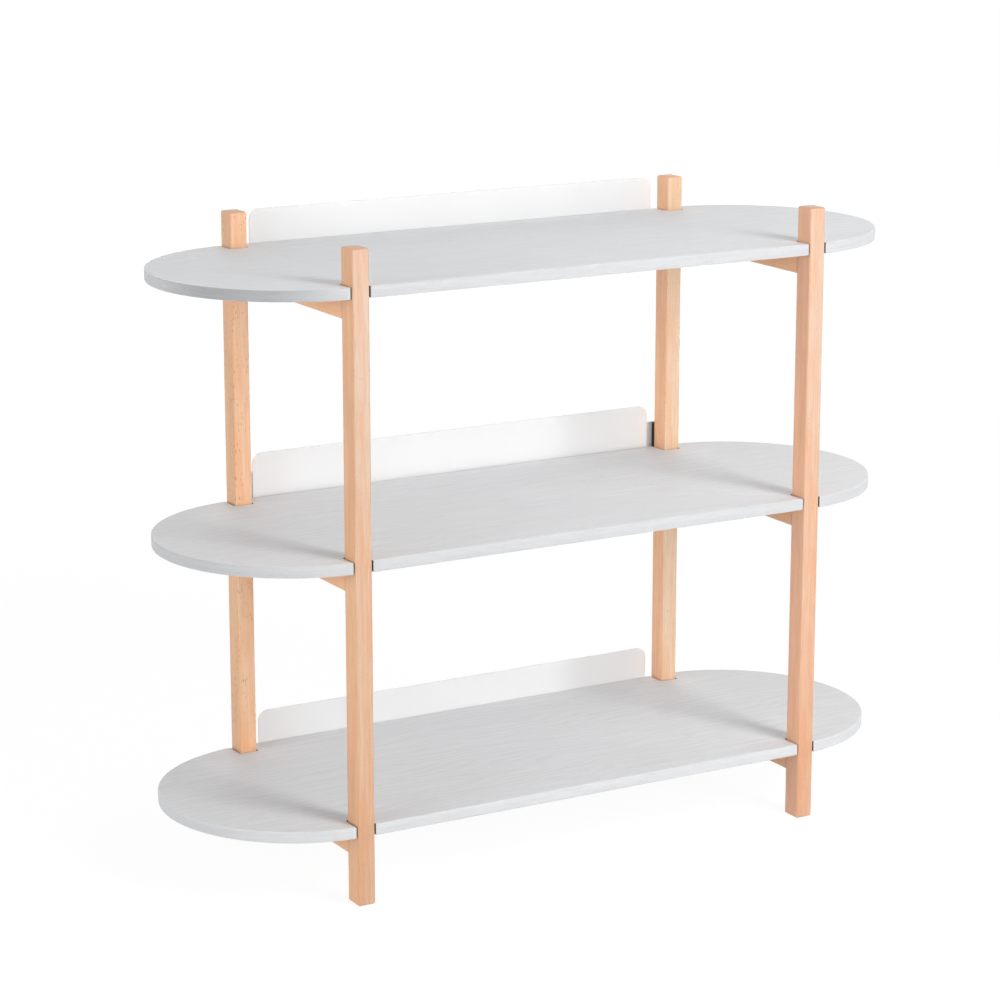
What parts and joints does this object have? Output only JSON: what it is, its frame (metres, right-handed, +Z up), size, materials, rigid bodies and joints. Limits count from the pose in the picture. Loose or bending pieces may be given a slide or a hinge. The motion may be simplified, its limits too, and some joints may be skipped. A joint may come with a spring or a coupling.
{
  "type": "bookcase",
  "caption": "Low open bookcase with round-ended grey shelves notched round slim beech posts, short rails beneath and low white back panels.",
  "frame": {"origin": "on the floor, under the middle of the bounding box", "axes": "+X along the shelves, to the right as seen from the front; +Y to the back; +Z up"},
  "size_m": [1.12, 0.4134, 0.9],
  "materials": {
    "beech": "clear matt lacquer over straight-grained beech with small darker flecks",
    "grey_veneer": "light cool grey stain over open-grained veneer, matt",
    "white_coat": "smooth white powder coat",
    "grey_coat": "mid grey powder coat",
    "black_plastic": "matt black moulded plastic",
    "zinc_steel": "bright zinc plate",
    "brass": "plain turned brass"
  },
  "bodies": {
    "root": {"front_left_post": "beech", "front_right_post": "beech", "rear_left_post": "beech", "rear_right_post": "beech", "left_bottom_rail": "beech", "left_middle_rail": "beech", "left_top_rail": "beech", "right_bottom_rail": "beech", "right_middle_rail": "beech", "right_top_rail": "beech", "bottom_shelf": "grey_veneer", "middle_shelf": "grey_veneer", "top_shelf": "grey_veneer", "bottom_back_panel": "white_coat", "middle_back_panel": "white_coat", "top_back_panel": "white_coat", "rear_brace": "grey_coat", "left_brace_spacer": "black_plastic", "right_brace_spacer": "black_plastic", "left_bottom_front_insert": "brass", "left_bottom_front_bolt": "zinc_steel", "left_bottom_rear_insert": "brass", "left_bottom_rear_bolt": "zinc_steel", "right_bottom_front_insert": "brass", "right_bottom_front_bolt": "zinc_steel", "right_bottom_rear_insert": "brass", "right_bottom_rear_bolt": "zinc_steel", "left_middle_front_insert": "brass", "left_middle_front_bolt": "zinc_steel", "left_middle_rear_insert": "brass", "left_middle_rear_bolt": "zinc_steel", "right_middle_front_insert": "brass", "right_middle_front_bolt": "zinc_steel", "right_middle_rear_insert": "brass", "right_middle_rear_bolt": "zinc_steel", "left_top_front_insert": "brass", "left_top_front_bolt": "zinc_steel", "left_top_rear_insert": "brass", "left_top_rear_bolt": "zinc_steel", "right_top_front_insert": "brass", "right_top_front_bolt": "zinc_steel", "right_top_rear_insert": "brass", "right_top_rear_bolt": "zinc_steel", "bottom_panel_screw_1": "zinc_steel", "bottom_panel_screw_2": "zinc_steel", "bottom_panel_screw_3": "zinc_steel", "bottom_panel_screw_4": "zinc_steel", "top_panel_screw_1": "zinc_steel", "top_panel_screw_2": "zinc_steel", "top_panel_screw_3": "zinc_steel", "top_panel_screw_4": "zinc_steel", "left_brace_screw_lower": "zinc_steel", "left_brace_screw_upper": "zinc_steel", "right_brace_screw_lower": "zinc_steel", "right_brace_screw_upper": "zinc_steel", "panel_nut_1": "zinc_steel", "panel_nut_2": "zinc_steel", "panel_nut_3": "zinc_steel", "panel_nut_4": "zinc_steel"}
  },
  "joints": []
}
